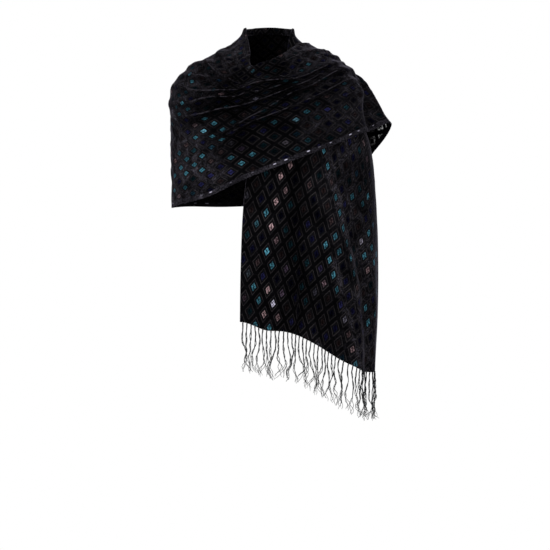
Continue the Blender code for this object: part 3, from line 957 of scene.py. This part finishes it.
def tree_of(*values):
    """The node tree that the first node output among some values is in."""
    return next(value.tree for value in values if isinstance(value, Output))


def calc(operation, *values, clamp=False):
    """The output of a Math node."""
    made = node(tree_of(*values), "ShaderNodeMath", operation=operation, use_clamp=clamp)
    for socket, value in zip(made.inputs, values):
        feed(socket, value)
    return Output(made.outputs[0])


def mix_colour(factor, a, b, blend="MIX"):
    """The output of a colour Mix node."""
    tree = tree_of(factor, a, b)
    made = node(tree, "ShaderNodeMix", {"Factor": factor}, data_type="RGBA", blend_type=blend)
    feed(made.inputs[6], a)
    feed(made.inputs[7], b)
    return Output(made.outputs[2])


def mix_number(factor, a, b):
    """The output of a number Mix node."""
    made = node(factor.tree, "ShaderNodeMix", {"Factor": factor}, data_type="FLOAT")
    feed(made.inputs[2], a)
    feed(made.inputs[3], b)
    return Output(made.outputs[0])


def noise_on(cloth, scale, detail=2.0, distortion=0.0, dimensions="3D"):
    """The output of a Noise Texture node."""
    inputs = {"Vector": cloth, "Scale": scale, "Detail": detail, "Distortion": distortion}
    made = node(cloth.tree, "ShaderNodeTexNoise", inputs, noise_dimensions=dimensions)
    return Output(made.outputs["Fac"])


def bumpy(height, distance, strength):
    """The normal of a Bump node."""
    inputs = {"Strength": strength, "Distance": distance, "Height": height}
    return Output(node(height.tree, "ShaderNodeBump", inputs).outputs[0])


def new_group(name, inputs, outputs):
    """A new shader node group: its tree, what it is given by name, and what it has to give."""
    group = bpy.data.node_groups.new(name, "ShaderNodeTree")
    for way, sockets in (("INPUT", inputs), ("OUTPUT", outputs)):
        for label, kind in sockets.items():
            group.interface.new_socket(name=label, in_out=way, socket_type=kind)
    source = group.nodes.new("NodeGroupInput")
    target = group.nodes.new("NodeGroupOutput")
    return group, {label: Output(source.outputs[label]) for label in inputs}, target.inputs


def use_group(tree, group, **inputs):
    """The outputs of a node group placed in a tree, with its inputs given by name."""
    given = {key.replace("_", " "): value for key, value in inputs.items()}
    made = node(tree, "ShaderNodeGroup", given, node_tree=group)
    return {socket.name: Output(socket) for socket in made.outputs}


NUMBER, VECTOR, COLOUR = "NodeSocketFloat", "NodeSocketVector", "NodeSocketColor"


def lattice_group():
    """Diamonds in half drop: how far each point is from the middle of its diamond, where it lies
    there, and random numbers for each diamond."""
    tree, given, out = new_group(
        "diamond lattice",
        {"Cloth": VECTOR, "Across": NUMBER, "Along": NUMBER},
        {
            "Distance": NUMBER, "Cell Random": NUMBER, "Cell Colour": COLOUR,
            "Local Across": NUMBER, "Local Along": NUMBER,
        },
    )
    shake = noise_on(given["Cloth"], WOBBLE_SCALE, dimensions="2D") - 0.5
    split = node(tree, "ShaderNodeSeparateXYZ", {"Vector": given["Cloth"]})
    x = Output(split.outputs["X"]) / given["Across"]
    y = Output(split.outputs["Y"]) / given["Along"]
    p, q = x + y, x - y
    p_cell, q_cell = calc("FLOOR", p + 0.5), calc("FLOOR", q + 0.5)
    p_in, q_in = p - p_cell, q - q_cell
    far = calc("MAXIMUM", abs(p_in), abs(q_in))
    feed(out["Distance"], far + shake * WOBBLE)
    cell = node(tree, "ShaderNodeCombineXYZ", {"X": p_cell, "Y": q_cell, "Z": CELL_SEED})
    chance = node(
        tree, "ShaderNodeTexWhiteNoise", {"Vector": Output(cell.outputs[0])}, noise_dimensions="3D"
    )
    feed(out["Cell Random"], Output(chance.outputs["Value"]))
    feed(out["Cell Colour"], Output(chance.outputs["Color"]))
    feed(out["Local Across"], p_in + q_in)
    feed(out["Local Along"], p_in - q_in)
    return tree


def nap_group():
    """Unevenness of a pile or a yarn: slow patches, scratches, flecks and fine grain."""
    tree, given, out = new_group(
        "nap",
        {"Cloth": VECTOR, "Patch Scale": NUMBER, "Grain Scale": NUMBER},
        dict.fromkeys((*NAP_NOISES, "Grain"), NUMBER),
    )
    for label, (finer, detail, distortion) in NAP_NOISES.items():
        scale = given["Patch Scale"] * finer
        feed(out[label], noise_on(given["Cloth"], scale, detail, distortion))
    feed(out["Grain"], noise_on(given["Cloth"], given["Grain Scale"]))
    return tree


def new_material(name):
    """A material with only its shader and its output, its tree and the shader's inputs."""
    made = bpy.data.materials.new(name)
    made.use_nodes = True
    tree = made.node_tree
    tree.nodes.clear()
    shader = tree.nodes.new("ShaderNodeBsdfPrincipled")
    target = tree.nodes.new("ShaderNodeOutputMaterial")
    tree.links.new(shader.outputs[0], target.inputs["Surface"])
    return made, tree, shader.inputs


def finish(shader, given):
    """Feeds a shader's inputs by name."""
    for key, value in given.items():
        feed(shader[key], value)


def steps_of(value, stops, tints):
    """A colour picked by a value from steps: where each starts, its colour and how much of it."""
    made = node(value.tree, "ShaderNodeValToRGB", {"Fac": value})
    made.color_ramp.interpolation = "CONSTANT"
    while len(made.color_ramp.elements) < len(stops):
        made.color_ramp.elements.new(0.5)
    for stop, (place, key, much) in zip(made.color_ramp.elements, stops):
        stop.position = place
        stop.color = (*(part * much for part in tints[key][:3]), 1)
    return Output(made.outputs["Color"])


def thread_colours(diamonds, nap, mark, tints):
    """Most threads lie dim. In the glint bands they are painted bright, as if they caught the
    light, by chance from one to the next. A small woven mark shows in the middle of each, and the
    threads are uneven."""
    chances = node(nap["Grain"].tree, "ShaderNodeSeparateColor", {"Color": diamonds["Cell Colour"]})
    for_dim, for_lit, for_warm = (Output(socket) for socket in chances.outputs)
    dim = steps_of(for_dim, DIM_THREADS, tints)
    cool, warm = steps_of(for_lit, COOL_GLINTS, tints), steps_of(for_lit, WARM_GLINTS, tints)
    # Painted glints: threads in the teal and rose bands are painted bright
    cool_on = (mark["teal"] - diamonds["Cell Random"]).through("thread lit")
    warm_on = (mark["rose"] - for_warm).through("thread lit")
    lit = mix_colour(warm_on, mix_colour(cool_on, dim, cool), warm)
    along = diamonds["Local Along"]
    bend = calc("SINE", along * MARK_BENDS) * MARK_BEND + diamonds["Local Across"]
    woven_mark = abs(bend).through("mark across") * abs(along).through("mark along")
    grain = nap["Grain"].through("thread grain") * nap["Flecks"].through("thread flecks")
    return mix_colour(1.0, lit, grain * (1 - woven_mark * MARK_DEPTH), "MULTIPLY")


def crushed_lines(nap, slow, mark, pile, fleck):
    """Crushed pile shows winding lines, painted pale in the highlight colour, most of all where
    sheen is painted.
    """
    coarse = abs(slow["Scratches"] - COARSE_LINE_AT).through("coarse line")
    fine = abs(nap["Scratches"] - FINE_LINE_AT).through("fine line")
    lines = calc("MAXIMUM", coarse, fine * FINE_LINE_SHOWS)
    lines = lines * (mark["nap"] * LINES_ON_SHEEN + LINES_ANYWHERE)
    lines = lines * (pile * LINES_ON_PILE + LINES_ON_GROUND)
    return calc("MULTIPLY", lines, fleck, clamp=True)


def loose_threads(diamonds, mark, selvedge):
    """Where the selvedge cuts a diamond, its loose threads are painted as silver sparkles."""
    across = mark["from_selvedge"].ramp(*(selvedge - outside for outside in SPARKLE_OUTER))
    across = across * mark["from_selvedge"].ramp(*(selvedge - outside for outside in SPARKLE_INNER))
    within = abs(diamonds["Local Along"]).through("sparkle along")
    within = within * diamonds["Distance"].through("sparkle inside")
    chances = node(within.tree, "ShaderNodeSeparateColor", {"Color": diamonds["Cell Colour"]})
    return across * within * Output(chances.outputs[2]).through("sparkle chance")


def velvet_material(name, groups, sizes, tints, show=1.0):
    """Black velvet with burnt-out diamonds, each with a thin outline and a patch of metallic
    thread, with glints, sheen, crest highlights and shade painted into its colour. Show is how much
    the light brings out on this side of the cloth."""
    made, tree, shader = new_material(name)
    lattice, nap_tree = groups
    cloth = Output(node(tree, "ShaderNodeUVMap", uv_map="cloth").outputs[0])
    diamonds = use_group(
        tree, lattice, Cloth=cloth, Across=sizes.repeat_across, Along=sizes.repeat_along
    )
    nap, slow = (
        use_group(tree, nap_tree, Cloth=cloth, Patch_Scale=scale, Grain_Scale=GRAIN_SCALE)
        for scale in (PATCH_SCALE, SLOW_PATCH_SCALE)
    )
    mark = {
        key: Output(node(tree, "ShaderNodeAttribute", attribute_name=key).outputs["Fac"])
        for key in (*BANDS, "from_selvedge", "crest", "strong")
    }
    far = diamonds["Distance"]
    pattern = mark["from_selvedge"].ramp(
        sizes.selvedge - SELVEDGE_BLUR, sizes.selvedge + SELVEDGE_BLUR
    )
    pile = far.ramp(OUTLINE_OUTER, OUTLINE_OUTER + EDGE_BLUR)
    line = far.ramp(OUTLINE_INNER - EDGE_BLUR, OUTLINE_INNER) * (1 - pile) * pattern
    line = line * nap["Patches"].through("worn outline")
    thread = far.ramp(THREAD_EDGE + THREAD_BLUR, THREAD_EDGE - THREAD_BLUR) * pattern
    pile = calc("MAXIMUM", pile, 1 - pattern)

    # The pile is black, painted pale and mottled where sheen is painted, and painted with a pale
    # highlight on the crests
    fleck = nap["Flecks"].through("pile flecks")
    scratch = abs(nap["Scratches"] - 0.5).through("pile scratches")
    # Painted sheen mask from the nap bands, also over the plain selvedge band
    brushed = mark["nap"] * (nap["Patches"].through("pile mottle") * scratch)
    brushed = calc("MAXIMUM", brushed, (1 - pattern) * SELVEDGE_SHEEN)
    brushed = calc("MULTIPLY", brushed, fleck, clamp=True)
    velvet = mix_colour(brushed, tints["velvet"], tints["brushed"])
    rim = far.through("rim inside") * far.through("rim outside")
    rim = rim * nap["Scratches"].through("worn rim")
    velvet = mix_colour(rim * pattern, velvet, tints["velvet"])
    ground = mix_colour(brushed * GROUND_SHEEN, tints["ground"], tints["brushed"])
    # Painted highlight: a pale line along each crisp crest, broken and flecked
    crest = abs(mark["crest"]).through("crest line") * mark["strong"] * CREST_SHOWS
    crest = crest * slow["Scratches"].through("broken crest")
    crest = crest * nap["Flecks"].through("crest flecks")

    base = mix_colour(pile, ground, velvet)
    # Crushed pile marks, painted pale with the crest highlight colour
    base = mix_colour(crushed_lines(nap, slow, mark, pile, fleck), base, tints["crest"])
    base = mix_colour(line, base, tints["outline"])
    base = mix_colour(thread, base, thread_colours(diamonds, nap, mark, tints))
    # Painted shade: darker in the shade bands and below crisp crests; slow patches vary it at
    # random
    light = (show - mark["shade"] * (SHADE_DEPTH * show)) * slow["Patches"].through("slow light")
    base = mix_colour(1.0, base, light, "MULTIPLY")
    # The painted crest highlight goes on top of the painted shade
    base = mix_colour(crest, base, tints["crest"])
    # Painted glints: loose threads at the selvedge painted as silver sparkles
    sparkle = loose_threads(diamonds, mark, sizes.selvedge) * show
    base = mix_colour(sparkle, base, tints["silver"])

    open_ground = 1 - calc("MAXIMUM", pile, calc("MAXIMUM", line, thread))
    sheer = mark["sheer"] * nap["Flecks"].through("sheer flecks") * SHEER_MOST + SHEER_LEAST
    height = pile + thread * THREAD_HEIGHT + nap["Grain"] * GRAIN_HEIGHT
    finish(shader, {
        **VELVET_GLOSS,
        "Base Color": base,
        "Metallic": thread * THREAD_METALLIC,
        "Roughness": mix_number(thread, PILE_ROUGHNESS, THREAD_ROUGHNESS),
        "Alpha": 1 - open_ground * sheer,
        "Sheen Weight": VELVET_SHEEN * show,
        "Normal": bumpy(height, PILE_HEIGHT, PILE_BUMP),
    })
    return made


def yarn_material(nap_tree, tints):
    """Dark twisted yarn with silvery glints."""
    made, tree, shader = new_material("fringe_yarn")
    cloth = Output(node(tree, "ShaderNodeUVMap", uv_map="yarn").outputs[0])
    nap = use_group(
        tree, nap_tree, Cloth=cloth, Patch_Scale=YARN_PATCH_SCALE, Grain_Scale=YARN_GRAIN_SCALE
    )
    glint = nap["Patches"].through("yarn glint")
    finish(shader, {
        "Base Color": mix_colour(glint, tints["yarn"], tints["yarn_glint"]),
        "Metallic": glint * YARN_METALLIC,
        "Roughness": mix_number(glint, YARN_ROUGHNESS, GLINT_ROUGHNESS),
        "Specular IOR Level": YARN_GLOSS,
        "Normal": bumpy(nap["Grain"], YARN_GRAIN, YARN_BUMP),
    })
    return made


def tints_of(colours):
    """The colours by name, each with an alpha of 1."""
    return {key: (*getattr(colours, key), 1) for key in StoleColours.__annotations__}


def edge_points(section, shares):
    """The creased cloth's points on one end, and the way that its cloth hangs on from there."""
    inner = section + (EDGE_STEP if section == 0 else -EDGE_STEP)
    fine = np.linspace(0, 1, CLOTH_COLUMNS + 1)
    _, points, _ = cloth_surface(np.array(sorted((section, inner)), float), fine)
    edge, behind = points if section == 0 else points[::-1]
    roots, away = (
        np.stack([np.interp(shares, fine, axis) for axis in rows.T], -1)
        for rows in (edge, unit(edge - behind))
    )
    return roots, unit(away)


def yarn_template():
    """A plain upright tube of few sides, one unit long, to bend into each yarn."""
    tube = bmesh.new()
    bmesh.ops.create_cone(
        tube, cap_ends=True, segments=YARN_SIDES, radius1=1, radius2=1, depth=1
    )
    upright = [e for e in tube.edges if abs(e.verts[0].co.z - e.verts[1].co.z) > 0.5]
    bmesh.ops.subdivide_edges(tube, edges=upright, cuts=YARN_STEPS - 1)
    tube.loops.layers.uv.new("yarn")
    return mesh_of(tube, "yarn template")


def add_yarn(strands, template, path, radius):
    """Adds one yarn to a mesh: a tube along a path, thinner towards its tip."""
    strands.from_mesh(template)
    strands.verts.ensure_lookup_table()
    strands.faces.ensure_lookup_table()
    uv = strands.loops.layers.uv["yarn"]
    heading = unit(np.gradient(path, axis=0))
    side = unit(np.cross(heading, YARN_ASIDE))
    other = np.cross(heading, side)
    aside, along = YARN_REPEATS
    for face in strands.faces[-len(template.polygons):]:
        for loop in face.loops:
            angle = math.atan2(loop.vert.co.y, loop.vert.co.x)
            down = 0.5 - loop.vert.co.z
            loop[uv].uv = (angle / math.pi + path[0][0] * aside, down * along)
    for v in strands.verts[-len(template.vertices):]:
        level = round((0.5 - v.co.z) * YARN_STEPS)
        angle = math.atan2(v.co.y, v.co.x) + YARN_TURN * level / YARN_STEPS
        thin = radius * (1 - TIP_THINNER * (level / YARN_STEPS) ** 3)
        v.co = path[level] + (side[level] * math.cos(angle) + other[level] * math.sin(angle)) * thin


def yarn_path(root, away, number, ply, seed, fringe_length):
    """Points down one yarn: it leaves the cloth's edge, turns down, and winds round its lock, which
    drifts and opens out."""
    down = np.linspace(0, 1, YARN_STEPS + 1)
    hang = fringe_length * (HANG + HANG_UNEVEN * noise.noise((seed, 3.1, 0.7)))
    turn = smooth(down, 0, TURNED_DOWN_BY)[:, None]
    fall = away * (1 - turn) + np.array([0, 0, -1.0]) * turn
    path = root - away * ROOT_INSIDE + running(fall[:-1] * hang / YARN_STEPS)
    around = 2 * math.pi * (down * LOCK_TWISTS + number * LOCK_APART + ply / PLIES)
    loose = LOCK_TIGHT + LOCK_LOOSER * smooth(down, LOCK_OPENS_FROM, 1.0)
    for axis, apart in ((0, 0.0), (1, 5.0)):
        drift = [noise.noise((number * 1.7, d * LOCK_BENDS, apart)) for d in down]
        path[:, axis] += np.array(drift) * LOCK_DRIFT * down
    curl = [noise.noise((number * 3.3, d * YARN_BENDS + 40, ply * 0.4)) for d in down]
    path[:, 0] += np.array(curl) * YARN_CURL * down
    spread = noise.noise((seed, 3.0, 8.0)) * YARN_SPREAD
    path[:, 0] += spread * smooth(down, YARN_SPREADS_FROM, 1.0)
    path[:, 0] += loose * np.cos(around)
    path[:, 1] += loose * np.sin(around)
    return path


def fringe_piece(name, section, sizes, drop_limit):
    """The knotted locks along one end, each of three yarns that twist about each other."""
    strands = bmesh.new()
    template = yarn_template()
    locks = sizes.fringe_locks
    roots, away = edge_points(section, (np.arange(locks) + 0.5) / locks)
    for number in range(locks):
        root, out = roots[number], away[number]
        for ply in range(PLIES):
            seed = number * PLIES + ply + section * 3.1
            path = yarn_path(root, out, number, ply, seed, sizes.fringe_length)
            path[:, 2] = np.maximum(path[:, 2], drop_limit)
            add_yarn(strands, template, path, sizes.yarn / 2)
        knot = bmesh.ops.create_icosphere(strands, subdivisions=1, radius=KNOT_RADIUS)["verts"]
        bmesh.ops.scale(strands, vec=(1, 1, KNOT_TALLER), verts=knot)
        bmesh.ops.translate(strands, vec=Vector(root + out * KNOT_BELOW), verts=knot)
    bmesh.ops.recalc_face_normals(strands, faces=strands.faces)
    bpy.data.meshes.remove(template)
    return placed(name, mesh_of(strands, name))


class STOLE_OT_cloth(bpy.types.Operator):
    """Build the long cloth of patterned velvet, wound as it is worn"""

    bl_idname = "stole.cloth"
    bl_label = "Velvet Cloth"

    def execute(self, context):
        sizes, tints = context.scene.stole_sizes, tints_of(context.scene.stole_colours)
        sections = np.linspace(0, LAST_SECTION, CLOTH_ROWS + 1)
        shares = np.linspace(0, 1, CLOTH_COLUMNS + 1)
        plain, points, (crest, strong, shade, taken) = cloth_surface(sections, shares)
        warp, weft = weave_directions(plain, sections, shares)
        (warp_s, weft_s), (warp_t, weft_t) = (
            weave_steps(points, warp, weft, axis) for axis in (0, 1)
        )
        along = gather_along(coordinate_from(warp_s, warp_t), sections)
        across = coordinate_from(weft_s, weft_t) + taken
        values = {kind: band_values(kind, sections, shares) for kind in BANDS}
        for kind in ("rose", "teal"):
            values[kind] = one_for_each_diamond(values[kind], across, along, sizes)
        values["shade"] = 1 - (1 - values["shade"]) * (1 - CREASE_SHADE * shade)
        values.update(crest=crest, strong=strong)
        reach = running(np.linalg.norm(np.diff(points, axis=1), axis=2), axis=1)

        cloth = mesh_from_grid("stole_cloth", np.concatenate([turned_edge(points), points], axis=1))
        set_uv(cloth.data, add_turned(across, -TURNED_BEYOND), add_turned(along))
        from_selvedge = add_turned(reach[:, -1:] - reach, TURNED_BEYOND)
        set_attribute(cloth.data, "from_selvedge", from_selvedge)
        for name, grid in values.items():
            set_attribute(cloth.data, name, add_turned(grid))
        wall = cloth.modifiers.new("thickness", "SOLIDIFY")
        wall.thickness = sizes.thickness
        wall.offset = 0
        wall.material_offset = 1
        groups = lattice_group(), nap_group()
        for name, show in (("devore_velvet", 1.0), ("velvet_reverse", REVERSE_SHOWS)):
            cloth.data.materials.append(velvet_material(name, groups, sizes, tints, show))
        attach(cloth, BODY)
        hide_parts(*CLOTH_NODES)
        return {"FINISHED"}


class STOLE_OT_fringes(bpy.types.Operator):
    """Build the knotted fringes of both ends"""

    bl_idname = "stole.fringes"
    bl_label = "Fringes"

    def execute(self, context):
        sizes, tints = context.scene.stole_sizes, tints_of(context.scene.stole_colours)
        look = yarn_material(bpy.data.node_groups["nap"], tints)
        for name, node_name, section in (
            ("front_yarns", "front_fringe", 0), ("back_yarns", "back_fringe", LAST_SECTION),
        ):
            piece = fringe_piece(name, section, sizes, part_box(node_name)[0].z)
            piece.data.materials.append(look)
            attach(piece, BODY)
            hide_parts(node_name)
        return {"FINISHED"}


class STOLE_OT_studio(bpy.types.Operator):
    """Build the floor, the lights and the camera"""

    bl_idname = "stole.studio"
    bl_label = "Studio"

    def execute(self, context):
        scene, studio = context.scene, context.scene.stole_studio
        disc = bmesh.new()
        bmesh.ops.create_circle(disc, cap_ends=True, segments=FLOOR_SIDES, radius=FLOOR_RADIUS)
        bmesh.ops.translate(disc, vec=(0, 0, -studio.floor_drop), verts=disc.verts)
        floor = placed("floor", mesh_of(disc, "floor"))
        look, _, shader = new_material("studio_floor")
        finish(shader, {"Base Color": (*studio.floor, 1), "Roughness": FLOOR_ROUGHNESS})
        floor.data.materials.append(look)

        scene.world = bpy.data.worlds.new("studio_world")
        scene.world.use_nodes = True
        background = scene.world.node_tree.nodes["Background"].inputs
        finish(background, {"Color": (1, 1, 1, 1), "Strength": 1.0})
        for lamp_row in LAMPS:
            light = bpy.data.lights.new(lamp_row.name, "AREA")
            light.size = lamp_row.size
            light.energy = studio.key_power * lamp_row.power
            lamp = placed(lamp_row.name, light)
            lamp.location = lamp_row.place
            aim = Vector(LAMPS_AIM) - lamp.location
            lamp.rotation_euler = aim.to_track_quat("-Z", "Y").to_euler()

        camera = bpy.data.cameras.new("camera")
        camera.lens = LENS
        camera.sensor_width = SENSOR
        eye = placed("camera", camera)
        eye.location = (VIEW_CENTRE[0], -VIEW_DISTANCE, VIEW_CENTRE[1])
        eye.rotation_euler = (math.pi / 2, 0, 0)
        scene.camera = eye
        scene.view_settings.view_transform = "Standard"
        return {"FINISHED"}


class STOLE_PT_panel(bpy.types.Panel):
    """Lists the pieces of the stole and its settings"""

    bl_idname = "STOLE_PT_panel"
    bl_label = "Evening Stole"
    bl_space_type = "VIEW_3D"
    bl_region_type = "UI"
    bl_category = "Stole"

    def draw(self, context):
        for operator in OPERATORS:
            self.layout.operator(operator.bl_idname)
        for owner, group in GROUPS.items():
            box = self.layout.box()
            for name in group.__annotations__:
                box.prop(getattr(context.scene, owner), name)


OPERATORS = (STOLE_OT_cloth, STOLE_OT_fringes, STOLE_OT_studio)
GROUPS = {
    "stole_sizes": StoleSizes,
    "stole_colours": StoleColours,
    "stole_studio": StoleStudio,
}


def register():
    for kind in (*GROUPS.values(), *OPERATORS, STOLE_PT_panel):
        bpy.utils.register_class(kind)
    for name, kind in GROUPS.items():
        setattr(bpy.types.Scene, name, PointerProperty(type=kind))


def unregister():
    for name in GROUPS:
        delattr(bpy.types.Scene, name)
    for kind in (STOLE_PT_panel, *OPERATORS, *GROUPS.values()):
        bpy.utils.unregister_class(kind)


def main():
    register()
    bpy.ops.stole.cloth()
    bpy.ops.stole.fringes()
    bpy.ops.stole.studio()


if __name__ == "__main__":
    main()
